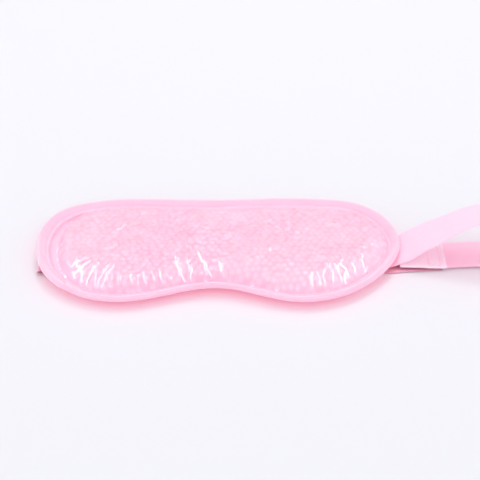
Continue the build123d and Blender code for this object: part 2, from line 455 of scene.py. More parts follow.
def cloth_material(name, low, high, pitch, sheen=0.4, glow=THIN_GLOW):
    """Dyed cloth: uneven colour, a fine knit, a painted pale sheen edge on, and a painted pink glow for
    light coming through it.
    """
    material, tree, shader = new_material(name)
    # Painted sheen: the colour turns paler where the cloth is seen edge on.
    edge_on = add_node(tree, "ShaderNodeLayerWeight", Blend=0.5).outputs["Facing"]
    painted_sheen = map_range(tree, edge_on, 0.2, 0.95, 0.0, 0.6)
    colour = mix_colours(tree, painted_sheen, noise_colour(tree, low, high, 60), (1.0, 0.82, 0.91))
    set_inputs(tree, shader, Base_Color=colour, Roughness=0.85)
    set_inputs(tree, shader, Sheen_Weight=sheen, Sheen_Roughness=0.4, Sheen_Tint=(1.0, 0.88, 0.94))
    bump = add_node(tree, "ShaderNodeBump", Height=knit_height(tree, pitch))
    set_inputs(tree, bump, Strength=0.5, Distance=0.12 * MM)
    set_inputs(tree, shader, Normal=bump.outputs[0])
    # Painted pink glow, seen only by diffuse rays, standing in for light coming through the cloth.
    paint_pink_glow(tree, shader, (1.0, 0.17, 0.28), glow)
    return material


def paint_shade_in_hollows(material, colour, distance):
    """Painted shade: a deep colour, from ambient occlusion, where cloth faces other cloth closely, as
    inside the turn of a strap.
    """
    tree = material.node_tree
    base = tree.nodes["Principled BSDF"].inputs["Base Color"]
    hollow = add_node(tree, "ShaderNodeAmbientOcclusion", samples=6, Distance=distance * MM)
    dye = base.links[0].from_socket
    set_input(tree, base, mix_colours(tree, hollow.outputs["AO"], colour, dye))


def film_material(name):
    """Clear vinyl: see-through head on, mirror-like at a glance, milky in patches and over beads,
    with extra shine painted along its creases."""
    material, tree, shader = new_material(name)
    tree.nodes.remove(shader)
    place = add_node(tree, "ShaderNodeTexCoord").outputs["Object"]
    patches = add_node(tree, "ShaderNodeTexNoise", Vector=place, Scale=35, Detail=2).outputs["Fac"]
    beads = add_node(tree, "ShaderNodeAttribute", attribute_name="bead_under").outputs["Fac"]
    creases = add_node(tree, "ShaderNodeAttribute", attribute_name="creased").outputs["Fac"]
    mirror = add_node(tree, "ShaderNodeFresnel", IOR=1.42).outputs[0]
    inside = add_node(tree, "ShaderNodeNewGeometry").outputs["Backfacing"]
    haze = map_range(tree, patches, 0.35, 0.7, *FILM_HAZE)
    frost = maths(tree, "MULTIPLY_ADD", beads, BEAD_FROST, haze)
    # Painted highlight: the film's reflection is made stronger along its creases.
    crease_painted_gloss = maths(tree, "MULTIPLY_ADD", creases, CREASE_GLOSS, FLAT_GLOSS)
    shine = maths(tree, "MULTIPLY", crease_painted_gloss, mirror, clamp=True)
    clear = add_node(tree, "ShaderNodeBsdfTransparent", Color=(1.0, 0.975, 0.985))
    milk = add_node(tree, "ShaderNodeBsdfDiffuse", Color=(1.0, 0.72, 0.85))
    gloss = add_node(tree, "ShaderNodeBsdfGlossy", Roughness=0.06)
    outside = mix_shaders(tree, shine, mix_shaders(tree, frost, clear, milk), gloss)
    surface = mix_shaders(tree, inside, outside, clear)
    set_inputs(tree, tree.nodes["Material Output"], Surface=surface.outputs[0])
    return material


def gel_material(name, low, high):
    """Wet translucent gel, each bead of its own shade, with a painted pink glow."""
    material, tree, shader = new_material(name)
    bead = add_node(tree, "ShaderNodeNewGeometry").outputs["Random Per Island"]
    colour = mix_colours(tree, bead, low, noise_colour(tree, low, high, 180))
    set_inputs(tree, shader, Base_Color=colour, Roughness=0.35, Subsurface_Weight=0.35)
    set_inputs(tree, shader, Subsurface_Radius=(0.004, 0.002, 0.003), Subsurface_Scale=0.6)
    # Painted pink glow, seen only by diffuse rays, standing in for light coming through the gel.
    paint_pink_glow(tree, shader, (1.0, 0.5, 0.65), THIN_GLOW)
    return material


# Each cloth: name, darkest and palest shade, pitch of its knit in mm, and sheen or glow if unusual
BINDING_CLOTH = cloth_material(
    "binding_cloth", (0.97, 0.49, 0.65), (0.99, 0.56, 0.72), 0.55, 0.8, THICK_GLOW
)
PLUSH_CLOTH = cloth_material(
    "plush_cloth", (0.95, 0.46, 0.64), (0.98, 0.54, 0.72), 0.8, 0.7, THICK_GLOW
)
THREAD = cloth_material("sewing_thread", (0.97, 0.48, 0.67), (0.98, 0.54, 0.72), 0.2, 0.2)
ELASTIC_CLOTH = cloth_material("elastic_cloth", (0.98, 0.585, 0.745), (0.99, 0.64, 0.785), 0.45)
LOOP_CLOTH = cloth_material("loop_cloth", (0.95, 0.47, 0.66), (0.98, 0.53, 0.71), 0.5, 0.6)
HOOK_CLOTH = cloth_material("hook_cloth", (0.99, 0.84, 0.95), (1.0, 0.92, 0.99), 0.5, 0.3)
# Painted shade, deep red, where the loop tape faces other cloth closely.
paint_shade_in_hollows(LOOP_CLOTH, (0.30, 0.05, 0.10), 6)
FILM = film_material("clear_film")
GEL = gel_material("bead_gel", (0.96, 0.44, 0.62), (1.0, 0.94, 0.99))
LIQUID = gel_material("pack_liquid", (0.97, 0.47, 0.64), (0.98, 0.54, 0.71))


# ---- Levels ---------------------------------------------------------------------------------


def rim_tilt():
    """How far the bound edge dishes up outwards at each station, in radians."""
    facing = INWARD[:, 1]  # 1 on the near edge, -1 on the far edge
    turn = TILT_ENDS + np.where(facing > 0, TILT_NEAR * facing, -TILT_FAR * facing)
    notch = np.exp(-(((RIM[:, 0] - 2) / 22) ** 2)) * (facing > 0)
    return np.radians(turn + TILT_NOTCH * notch)


# At each rim station: the tape's tilt and width, how much less of it shows in plan, and its level
TILT = rim_tilt()
TAPE_WIDTH = BINDING_WIDTH - NARROWER * ease((INWARD[:, 1] + 0.35) / 0.5)
TRIM = BINDING_WIDTH - TAPE_WIDTH * np.cos(TILT)
LEVEL = RIM_MID - RIM_LOW + RIM_SLOPE * RIM[:, 1] + 0.2 * waves(RIM[:, 0], RIM[:, 1], 45, 2)


def sheet_level(plan):
    """The layers inside the binding follow its tilt as far as the lip."""
    reach = np.minimum(plan.inset, BINDING_WIDTH) - TRIM[plan.station]
    tilt = TILT[plan.station]
    return LEVEL[plan.station] + TAPE_WIDTH[plan.station] / 2 * np.sin(tilt) - reach * np.tan(tilt)


def pack_start(x):
    """Inset where the beads begin: there is a bare strip of film at the far end."""
    return PACK_START + BARE_FLANGE * ease((-x - 72) / 20)


def side_rise(plan):
    """0 where the pack starts, 1 where it is full: a soft shoulder."""
    side = np.clip((plan.inset - pack_start(plan.x)) / PACK_SIDE, 0, 1)
    return 1 - (1 - side) ** PACK_SWELL


def lip_opening(inset):
    """How far the pack pushes the inner edge of the binding up."""
    return LIP_RISE * ease((inset - PACK_START + 2.2) / 2.4)


def pack_level(plan):
    """The film over the pack, before beads and wrinkles."""
    x, y = plan.x, plan.y
    top = PACK_TOP + PACK_CROWN * ease((plan.inset - pack_start(x)) / 26)
    top = top + 0.45 * waves(x, y, 42, 3) + 0.2 * waves(x, y, 17, 4)
    lip = sheet_level(plan) + FILM_LIFT + lip_opening(plan.inset)
    return lip + (top - lip) * side_rise(plan)


def pack_floor(plan):
    """The underside of the pack where it lies in the plush panel."""
    fill_bottom = node_span("gel_bead_fill")[0][2]
    lip = sheet_level(plan)
    return lip + (fill_bottom - lip) * side_rise(plan)


# ---- Gel pack -------------------------------------------------------------------------------


def bead_field():
    """A loose hexagonal packing of beads under the film, in plan. Towards the rim the rows close
    up, because they follow the pack's sloping side."""
    rng = np.random.default_rng(11)
    half_length, half_width = BEAD_FIELD
    rows = np.arange(-half_width, half_width, BEAD_PITCH * math.sqrt(3) / 2)
    columns = np.arange(-half_length, half_length, BEAD_PITCH)
    x, y = np.meshgrid(columns, rows)
    x = x + (np.arange(len(rows)) % 2)[:, None] * BEAD_PITCH / 2
    x, y = x.ravel(), y.ravel()
    x = x + 1.2 * waves(x, y, 40, 21) + rng.normal(0, 0.5, len(x))
    y = y + 1.2 * waves(x, y, 40, 22) + rng.normal(0, 0.5, len(y))
    plan = plan_at(x, y)
    out = 1.4 * np.exp(-np.maximum(plan.inset - pack_start(x), 0) / 4)
    plan = plan_at(x - INWARD[plan.station, 0] * out, y - INWARD[plan.station, 1] * out)
    keep = plan.inset > pack_start(plan.x) + 0.7
    return Plan(*(column[keep] for column in plan))


def ball_cloud(centres, detail, seed):
    """Many slightly uneven beads as points and triangles."""
    rng = np.random.default_rng(seed)
    ball = bmesh.new()
    bmesh.ops.create_icosphere(ball, subdivisions=detail, radius=1.0)
    shape = np.array([v.co for v in ball.verts])
    faces = np.array([[v.index for v in f.verts] for f in ball.faces])
    ball.free()
    size = rng.uniform(*BEAD_SIZES, len(centres))[:, None]
    scale = size * np.array([BEAD_RADIUS, BEAD_RADIUS, BEAD_HEIGHT])
    return copies(centres[:, None, :] + shape[None, :, :] * scale[:, None, :], faces)


def build_beads(field):
    """Separate beads: one layer pressed against the film and one behind it."""
    ahead = field._replace(inset=field.inset + 0.5)
    behind_it = field._replace(inset=field.inset - 0.5)
    slope = pack_level(ahead) - pack_level(behind_it)
    normal = unit(np.column_stack([-INWARD[field.station] * slope[:, None], np.ones(len(slope))]))
    upper = np.column_stack([field.x, field.y, pack_level(field) - 0.12]) - normal * BEAD_HEIGHT * 1.05
    behind = upper + (BEAD_PITCH / 2, BEAD_PITCH * 0.29, -2.6)
    behind = behind[field.inset > pack_start(field.x) + 6]
    shape = join_meshes([ball_cloud(upper, 3, 31), ball_cloud(behind, 2, 33)])
    mesh_piece("gel_beads", shape, GEL, "mask")


def bead_relief(plan, field):
    """How far the film stands out over each bead and sinks between them, 0 to 1."""
    relief = np.zeros(len(plan.x))
    for part in np.array_split(np.arange(len(plan.x)), 12):
        gap = (plan.x[part, None] - field.x) ** 2 + (plan.y[part, None] - field.y) ** 2
        relief[part] = np.clip(1 - gap.min(1) / (BEAD_PITCH * 0.58) ** 2, 0, 1)
    return relief


BUBBLES = 110  # small bubbles trapped under the film
# Slack film gathered against the near edge: from x, to x, number of folds, height, length
GATHERS = [(-84, -60, 7, 0.9, 13), (-56, -24, 9, 0.5, 7), (-14, 46, 9, 0.3, 6), (50, 84, 8, 0.7, 10)]
# Long folds on top of the pack: middle in plan, heading in degrees, length, height, bow
LONG_FOLDS = [
    (-21, -23, -72, 17, 0.8, 0.03),
    (-15, -23, -84, 16, 0.6, -0.02),
    (-7, -21, -66, 19, 1.0, 0.01),
    (3, -25, -68, 14, 0.7, 0.01),
    (67, -32, -80, 12, 0.8, 0.04),
    (77, -18, -75, 11, 0.9, 0.07),
    (86, -20, -50, 8, 0.6, 0.0),
    (-70, -15, 5, 5, 0.6, 0.0),
    (-44, -30, 20, 10, 0.5, 0.02),
]
# Small loose folds: middle of the patch, its spread, number of folds, heading
PATCHES = [
    (-70, -22, 12, 6, 8, 70),
    (-16, -16, 8, 6, 8, 100),
    (68, -18, 14, 7, 9, 95),
    (-62, 10, 16, 8, 5, 10),
    (20, 4, 28, 14, 7, 60),
    (72, 12, 10, 10, 5, 60),
]


def fold(plan, centre, angle, length, width, bow):
    """One rounded fold of film: 1 along its ridge, 0 away from it."""
    dx, dy = plan.x - centre[0], plan.y - centre[1]
    along = dx * math.cos(angle) + dy * math.sin(angle)
    across = dy * math.cos(angle) - dx * math.sin(angle) - bow * along**2 / 2
    across = across + 0.35 * np.sin(along * 0.9 + centre[0])
    return np.exp(-((across / width) ** 2) - (along / (length / 2)) ** 4)


def film_folds(plan):
    """All the folds of the slack film."""
    rng = np.random.default_rng(41)
    height = np.zeros(len(plan.x))
    near = np.flatnonzero(INWARD[:, 1] > 0.2)
    for from_x, to_x, count, size, reach in GATHERS:
        for x in np.linspace(from_x, to_x, count) + rng.normal(0, 0.9, count):
            station = near[np.abs(RIM[near, 0] - x).argmin()]
            length = reach * rng.uniform(0.7, 1.15)
            centre = RIM[station] + INWARD[station] * (pack_start(x) + 1 + length / 2)
            angle = math.atan2(INWARD[station, 1], INWARD[station, 0]) + rng.normal(0, 0.16)
            width, bow = rng.uniform(0.5, 0.7), rng.normal(0, 0.03)
            height += size * rng.uniform(0.6, 1.1) * fold(plan, centre, angle, length, width, bow)
    for x, y, heading, length, size, bow in LONG_FOLDS:
        height += size * fold(plan, (x, y), math.radians(heading), length, 0.62, bow)
    for middle_x, middle_y, spread_x, spread_y, count, heading in PATCHES:
        for _ in range(count):
            centre = rng.normal((middle_x, middle_y), (spread_x * 0.6, spread_y * 0.6))
            angle = math.radians(heading + rng.normal(0, 25))
            length, width, bow = rng.uniform(3, 8), rng.uniform(0.5, 0.75), rng.normal(0, 0.06)
            height += rng.uniform(0.25, 0.55) * fold(plan, centre, angle, length, width, bow)
    spots = rng.uniform(RIM.min(axis=0), RIM.max(axis=0), (BUBBLES, 2))
    for spot in spots:
        away = (plan.x - spot[0]) ** 2 + (plan.y - spot[1]) ** 2
        height += rng.uniform(0.15, 0.4) * np.exp(-away / rng.uniform(0.2, 0.5))
    return height


def slack_film(plan):
    """Wrinkles of slack film over the beads, from the cloth solver on a coarser sheet."""
    coarse, quads = plan_grid(BINDING_WIDTH - 1, SLACK_STEP)
    rng = np.random.default_rng(45)
    level = pack_level(coarse) + 0.25 * film_folds(coarse) + rng.uniform(0, 0.12, len(coarse.x))
    sheet = np.column_stack([coarse.x, coarse.y, level])
    held = coarse.inset < BINDING_WIDTH + 0.8
    move = settle_cloth(sheet, quads, held, pressure=0.3, cap=SLACK_CAP, slack=SLACK)[:, 2]
    tree = KDTree(len(coarse.x))
    for index, (x, y) in enumerate(zip(coarse.x, coarse.y)):
        tree.insert((x, y, 0), index)
    tree.balance()
    found = [tree.find_n((x, y, 0), 4) for x, y in zip(plan.x, plan.y)]
    near = np.array([[index for _, index, _ in row] for row in found])
    gap = np.array([[distance for _, _, distance in row] for row in found])
    weight = 1 / (gap + 0.3) ** 2
    wrinkle = (move[near] * weight).sum(1) / weight.sum(1)
    inside = ease((plan.inset - BINDING_WIDTH) / 2)
    return np.clip(wrinkle, -0.15, SLACK_CAP) * inside


def build_pack():
    """Films, beads and liquid."""
    plan, quads = plan_grid(FILM_EDGE, GRID_STEP)
    field = bead_field()
    over_pack = ease((plan.inset - pack_start(plan.x) + 0.3) / 1.2)
    under_film = bead_relief(plan, field)
    relief = BEAD_RELIEF * (under_film - 0.6) * over_pack
    ends = ease((-plan.x - 62) / 8) + ease((plan.x - 58) / 8)
    weld = 0.35 * np.exp(-(((plan.inset - BINDING_WIDTH - 1.2) / 0.5) ** 2)) * ends  # its ridge
    folds = film_folds(plan) * ease((plan.inset - BINDING_WIDTH) / 1.5)
    top = pack_level(plan) + relief + folds + weld + slack_film(plan)
    shape = closed_pad(plan, quads, top, top - FILM_THICKNESS)
    sheet = mesh_piece("front_film_sheet", shape, FILM, "mask", ["front_film"])
    # The film is milky along the lip too, but not at the left end
    near_lip = 0.25 * (1 - ease((plan.inset - BINDING_WIDTH) / 1.5)) * ease((plan.x + 86) / 12)
    frost = np.maximum(under_film * over_pack, near_lip)
    # creased marks where the film's reflection is painted stronger.
    for name, amount in (("bead_under", frost), ("creased", np.clip((folds - 0.08) / 0.25, 0, 1))):
        on_sheet = sheet.data.attributes.new(name, "FLOAT", "POINT")
        on_sheet.data.foreach_set("value", np.tile(amount, 2).astype(np.float32))

    under = pack_floor(plan)
    shape = closed_pad(plan, quads, under, under - FILM_THICKNESS)
    mesh_piece("back_film_sheet", shape, FILM, "mask", ["back_film"])

    build_beads(field)
    plan, quads = plan_grid(PACK_START - 0.3, 1.2)
    top = pack_level(plan) - 0.3 - 1.4 * ease((plan.inset - pack_start(plan.x)) / 3)
    bottom = np.minimum(pack_floor(plan) + 0.1, top - 0.2)
    shape = closed_pad(plan, quads, top, bottom)
    mesh_piece("gel_liquid", shape, LIQUID, "mask", ["gel_bead_fill"])


# ---- Plush back panel -----------------------------------------------------------------------

PLUSH_SKIN = 0.6  # nap below the cloth, so that the tips rest on the table
PLUSH_START, PLUSH_SIDE = 8.6, 7.0  # inset where it leaves the binding, and the width of its side
CHANNEL_HALF = 12.5
GROOVE_DEPTH = 1.35
NAP_TUFTS = 14000
PLUSH_PUFF = 0.9  # how far the panel may puff out between its seams


def plush_underside(plan):
    """The panel seen from below, with the groove of the strap that runs under it."""
    side = np.clip((plan.inset - PLUSH_START) / PLUSH_SIDE, 0, 1)
    drop = np.sqrt(1 - (1 - side) ** 2)
    lip = sheet_level(plan) - 1.25
    loop_low, loop_high = node_span("loop_strap")
    across = np.abs(plan.y - (loop_low[1] + loop_high[1]) / 2)
    groove = GROOVE_DEPTH * ease((CHANNEL_HALF + 1.5 - across) / 2.0)
    sag = 0.25 * (1 + waves(plan.x, plan.y, 30, 51)) * (1 - ease((plan.inset - 9) / 12))
    floor = PLUSH_SKIN + groove + sag
    return lip + (floor - lip) * drop


def plush_bottom(plan):
    """The underside with the small unevenness of soft cloth."""
    return plush_underside(plan) + 0.12 * waves(plan.x, plan.y, 6, 52)


def build_plush():
    """The soft back panel, as thick cloth that fills out to the films, with its nap."""
    plan, quads = plan_grid(FILM_EDGE, 2.2)
    bottom = plush_bottom(plan)
    top = np.maximum(pack_floor(plan) - FILM_THICKNESS - 0.05, bottom + 0.3)
    points, faces = closed_pad(plan, quads, top, bottom)
    count = len(plan.x)
    held = np.concatenate([np.ones(count, bool), plan.inset < BINDING_WIDTH + 1])
    move = settle_cloth(points, faces, held, pressure=4, cap=PLUSH_PUFF)
    points = points + move
    points[:, 2] = np.maximum(points[:, 2], PLUSH_SKIN)
    panel = mesh_piece("plush_panel", (points, faces), PLUSH_CLOTH, None)
    smooth = panel.modifiers.new("smooth", "SUBSURF")
    smooth.levels = smooth.render_levels = 1
    with bpy.context.temp_override(object=panel, active_object=panel):
        bpy.ops.object.modifier_apply(modifier=smooth.name)
    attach(panel, "mask")
    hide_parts("plush_back_panel")

    rng = np.random.default_rng(53)
    low, high = RIM.min(axis=0), RIM.max(axis=0)
    spots = rng.uniform(low, high, (NAP_TUFTS, 2))
    plan = plan_at(spots[:, 0], spots[:, 1])
    plan = Plan(*(column[plan.inset > BINDING_WIDTH - 0.5] for column in plan))
    tree = BVHTree.FromObject(panel, bpy.context.evaluated_depsgraph_get())
    roots, out = [], []
    for x, y in zip(plan.x * MM, plan.y * MM):
        spot, normal, _, _ = tree.ray_cast(Vector((x, y, -0.02)), Vector((0, 0, 1)))
        if spot is not None:
            roots.append(spot / MM)
            out.append(normal * (-1 if normal.z > 0 else 1))
    shape = tufts(np.array(roots), np.array(out), PLUSH_SKIN - 0.1, 0.16, 54)
    mesh_piece("plush_nap", shape, PLUSH_CLOTH, "mask")


# ---- Edge binding ---------------------------------------------------------------------------

LAP_AT = RIM_LENGTH * 0.585  # where the tape's end is lapped, along the rim
LAP_LENGTH = 13


def tape_height(inset, run):
    """Half thickness of the folded tape above its middle, at an inset from the edge."""
    nose = np.clip(1 - inset / BINDING_NOSE, 0, 1)
    crease = np.exp(-(((inset - STITCH_INSET) / 0.5) ** 2))
    tuck = 0.7 + 0.3 * np.cos(math.tau * run / STITCH_PITCH)
    lip = np.clip((inset - (BINDING_WIDTH - LIP)) / LIP, 0, 1)
    flat = BINDING_HALF * np.sqrt(1 - nose**2)
    return flat - 0.5 * crease * tuck - (LIP - 0.1) * (1 - np.sqrt(1 - lip**2))


def lap_over(run):
    """The tape's end, folded and lapped over its start: a soft step with a short overlap."""
    into = run - LAP_AT
    return 0.7 * ease(into / 0.8) * ease((LAP_LENGTH - into) / 5)


def rim_place(inset, height):
    """Points round the rim at an inset along the tilted tape and a height off its middle."""
    along = inset * TAPE_WIDTH / BINDING_WIDTH
    out = along * np.cos(TILT) + height * np.sin(TILT)
    lift = (TAPE_WIDTH / 2 - along) * np.sin(TILT) + height * np.cos(TILT)
    return np.column_stack([RIM + INWARD * out[:, None], LEVEL + lift])


def tape_section():
    """Insets across the tape's cross-section, each with the face it belongs to."""
    nose = BINDING_NOSE * (1 - np.cos(np.linspace(0, math.pi / 2, 9)))
    flat = np.linspace(BINDING_NOSE, BINDING_WIDTH - LIP, 20)[1:]
    lip = BINDING_WIDTH - LIP * (1 - np.sin(np.linspace(0, math.pi / 2, 6)))
    outside = np.concatenate([nose, flat, lip[1:]])
    slot = np.linspace(2.0, BINDING_WIDTH, 8)
    section = [(inset, "top") for inset in outside[::-1]]
    section += [(inset, "bottom") for inset in outside[1:]]
    section += [(inset, "slot_bottom") for inset in slot[::-1]]
    return section + [(inset, "slot_top") for inset in slot]


def build_binding():
    """Fabric tape folded round the edge: a closed U-section carried round the rim, sewn through
    near its inner edge."""
    run = np.arange(RIM_STATIONS) / RIM_STATIONS * RIM_LENGTH
    edge_x, edge_y = RIM[:, 0], RIM[:, 1]
    puff = 0.12 * waves(edge_x, edge_y, 26, 61) + 0.06 * waves(edge_x, edge_y, 7, 62)
    puff = puff + lap_over(run)
    wander = 0.25 * waves(edge_x, edge_y, 38, 63)

    def place(inset, side, lift=0.0):
        open_lip = lip_opening(inset)
        height = {
            "top": tape_height(inset, run) + puff + open_lip + lift,
            "bottom": -tape_height(inset, run + STITCH_PITCH / 2) + puff * 0.4 - lift,
            "slot_top": FILM_LIFT + open_lip,
            "slot_bottom": -0.9,
        }[side]
        return rim_place(inset + wander * ease(inset / BINDING_WIDTH), height)

    rows = [place(np.full(RIM_STATIONS, inset), side) for inset, side in tape_section()]
    shape = np.stack(rows, axis=1).reshape(-1, 3), grid_faces(RIM_STATIONS, len(rows), True, True)
    mesh_piece("binding_tape", shape, BINDING_CLOTH, "mask", ["edge_binding"])
    seam = np.full(RIM_STATIONS, STITCH_INSET)
    for side, node in (("top", "binding_needle_thread"), ("bottom", "binding_bobbin_thread")):
        line = place(seam, side)
        out = unit(place(seam, side, 1.0) - line)
        shape = stitch_row(np.vstack([line, line[:1]]), np.vstack([out, out[:1]]))
        mesh_piece(node + "_stitches", shape, THREAD, "mask", [node])


# ---- Straps ---------------------------------------------------------------------------------

STRAP_WIDTH = 22.0
STRAP_COLUMNS = 49  # points across a strap's face
ELASTIC_STATIONS, LOOP_STATIONS, HOOK_STATIONS = 360, 520, 90  # and along it
ELASTIC_RIBS, LOOP_RIBS, HOOK_RIBS = (26, 0.045), (18, 0.03), (22, 0.02)  # number and height
HEM_LENGTH = 2.2
TURN_BULGE = 2.2  # how far the loop tape's turn stands out to the left
LOOP_TUFTS = 5000
HOOKS_TO_X = 113.4
HOOK_PITCH = 1.3


def curve_through(knots, count):
    """Evenly spaced points on a smooth curve through some knots (rows of numbers)."""
    knots = np.asarray(knots, float)
    ends = np.vstack([2 * knots[0] - knots[1], knots, 2 * knots[-1] - knots[-2]])
    fine = []
    for i in range(1, len(ends) - 2):
        a, b, c, d = ends[i - 1 : i + 3]
        t = np.linspace(0, 1, 40, endpoint=False)[:, None]
        fine.append(
            0.5 * (2 * b + (c - a) * t + (2 * a - 5 * b + 4 * c - d) * t**2
                   + (3 * b - a - 3 * c + d) * t**3)
        )
    fine = np.vstack(fine + [knots[-1:]])
    run = run_along(fine[:, :3])
    return values_at(np.linspace(0, run[-1], count), run, fine)


Ribbon = namedtuple("Ribbon", "path side up width thickness")  # a flat strap along a path


def lay_ribbon(knots, count, width, thickness):
    """A strap through knots of x, y, z and a roll about its run in degrees."""
    laid = curve_through(knots, count)
    path, roll = laid[:, :3], np.radians(laid[:, 3])[:, None]
    along = unit(np.gradient(path, axis=0))
    across = unit(np.cross((0, 1.0, 0), along))
    across = np.cross(along, across)
    normal = np.cross(along, across)
    side = across * np.cos(roll) + normal * np.sin(roll)
    return Ribbon(path, side, normal * np.cos(roll) - across * np.sin(roll), width, thickness)


def part_of(ribbon, first, last):
    """The strap between two of its stations."""
    cut = slice(first, last + 1)
    return ribbon._replace(path=ribbon.path[cut], side=ribbon.side[cut], up=ribbon.up[cut])


def on_ribbon(ribbon, x, across, face=1, lift=0.0):
    """Points on a strap's face at the stations nearest to some x, and the way that face looks."""
    x, across = np.broadcast_arrays(np.asarray(x, float), np.asarray(across, float))
    at = np.abs(ribbon.path[:, 0][:, None] - x.ravel()).argmin(axis=0)
    out = ribbon.up[at] * face
    height = ribbon.thickness / 2 + lift
    point = ribbon.path[at] + ribbon.side[at] * across.ravel()[:, None] + out * height
    point[:, 0] += x.ravel() - ribbon.path[at, 0]
    return point, out


def ribbon_mesh(ribbon, ribs, rib_height, hem=0.0):
    """The strap as a closed body with fine lengthwise ribs and, if asked, a folded hem at its end."""
    quarter = math.pi / 2 * 0.92  # points across the strap lie closer together at its edges
    u = np.sin(np.linspace(-quarter, quarter, STRAP_COLUMNS)) / math.sin(quarter)
    edge = np.sqrt(np.clip(1 - np.abs(u) ** 14, 0, 1))
    rib = rib_height * np.cos(u * ribs * math.pi) * (np.abs(u) < 0.97)
    top = np.maximum(edge, 0.25) * ribbon.thickness / 2 + rib
    to_end = np.linalg.norm(ribbon.path - ribbon.path[-1], axis=1)
    swell = hem * np.sqrt(np.clip(1 - (to_end / HEM_LENGTH) ** 4, 0, 1))
    over = top[None] + swell[:, None]
    heights = np.concatenate([over, np.repeat(-top[None, ::-1], len(to_end), 0)], 1)
    places = np.concatenate([u, u[::-1]]) * ribbon.width / 2
    points = (
        ribbon.path[:, None, :]
        + ribbon.side[:, None, :] * places[None, :, None]
        + ribbon.up[:, None, :] * heights[:, :, None]
    )
    count = len(places)
    body = grid_faces(len(ribbon.path), count, False, True)
    i = np.arange(STRAP_COLUMNS - 1)
    cap = np.stack([i, i + 1, count - 2 - i, count - 1 - i], axis=1)
    faces = np.concatenate([body, cap, cap[:, ::-1] + (len(ribbon.path) - 1) * count])
    return points.reshape(-1, 3), faces


def bar_tack(name, ribbon, node):
    """Dense slanting stitches across the underside of a strap's sewn end, for a CAD node."""
    low, high = node_span(node)
    across = np.linspace(-1, 1, 26) * (high[1] - low[1]) / 2
    starts, out = on_ribbon(ribbon, low[0], across[:-1], -1)
    ends, _ = on_ribbon(ribbon, high[0], across[1:], -1)
    mesh_piece(name, stitches(starts, ends, out), THREAD, "mask", [node])


def joint_point(name):
    """Where a joint sits, in mm."""
    joint = next(j for j in frame["joints"] if j["name"] == name)
    return np.array(joint["pos_m"]) / MM


def blend_piece(piece):
    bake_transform(piece)


def under_rim(x):
    """Level of a strap sewn to the underside of the binding at one end of the mask."""
    station = RIM[:, 0].argmax() if x > 0 else RIM[:, 0].argmin()
    tilt = TILT[station]
    middle = LEVEL[station] + TAPE_WIDTH[station] / 2 * math.sin(tilt)
    middle -= min(abs(RIM[station, 0] - x), TAPE_WIDTH[station] * math.cos(tilt)) * math.tan(tilt)
    return middle - (BINDING_HALF + 0.75) / math.cos(tilt)


def build_elastic():
    """The elastic: from under the rim, up and over, and back along the table to the hook tape."""
    axis = joint_point("elastic_strap_swing")
    sewn_low, _ = node_span("elastic_strap_sewn_end")
    _, high = node_span("elastic_strap")
    free_low, free_high = node_span("elastic_strap_free_end")
    mid_free = (free_low[2] + free_high[2]) / 2
    rise = high[0] - axis[0]
    top = high[2] - 0.6
    knots = [  # x, y, z, roll in degrees
        (sewn_low[0] + 0.5, 0, under_rim(sewn_low[0] + 0.5), 0),
        (axis[0] - 8, 0, under_rim(axis[0] - 8), 0),
        (axis[0] - 3.6, 0, under_rim(axis[0] - 3.6), 4),
        (axis[0] + 1, 0, axis[2] + 2.6, 9),
        (axis[0] + 0.12 * rise, 0, 13.8, 5),
        (axis[0] + 0.26 * rise, 0, 19.4, 1),
        (axis[0] + 0.41 * rise, 0, 25.8, -4),
        (axis[0] + 0.56 * rise, 0, 29.9, -7),
        (axis[0] + 0.72 * rise, 0, top, -8),
        (axis[0] + 0.90 * rise, 0, top - 4.5, -4),
        (high[0] - 0.6, 0, (top + mid_free) / 2, 0),
        (axis[0] + 0.90 * rise, 0, mid_free + 4.5, 2),
        (axis[0] + 0.74 * rise, 0.5, mid_free + 0.7, 1),
        (free_low[0] + 26, 1.2, mid_free + 0.2, 0),
        (free_low[0] + 10, 0.4, mid_free, 0),
        (free_low[0], 0, mid_free, 0),
    ]
    elastic = lay_ribbon(knots, ELASTIC_STATIONS, STRAP_WIDTH, 1.05)
    split = np.flatnonzero(elastic.path[:, 0] > free_high[0] - 6)[-1]

    shape = ribbon_mesh(part_of(elastic, 0, split), *ELASTIC_RIBS)
    webbing = mesh_piece("elastic_webbing", shape, ELASTIC_CLOTH, None)
    blend_piece(webbing)
    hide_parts("elastic_strap", "elastic_strap_sewn_end")

    shape = ribbon_mesh(part_of(elastic, split, ELASTIC_STATIONS - 1), *ELASTIC_RIBS)
    returning = mesh_piece("elastic_return", shape, ELASTIC_CLOTH, None)
    blend_piece(returning)
    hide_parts("elastic_strap_free_end")
    bar_tack("elastic_bar_tack_stitches", part_of(elastic, 0, 60), "elastic_strap_bar_tack")


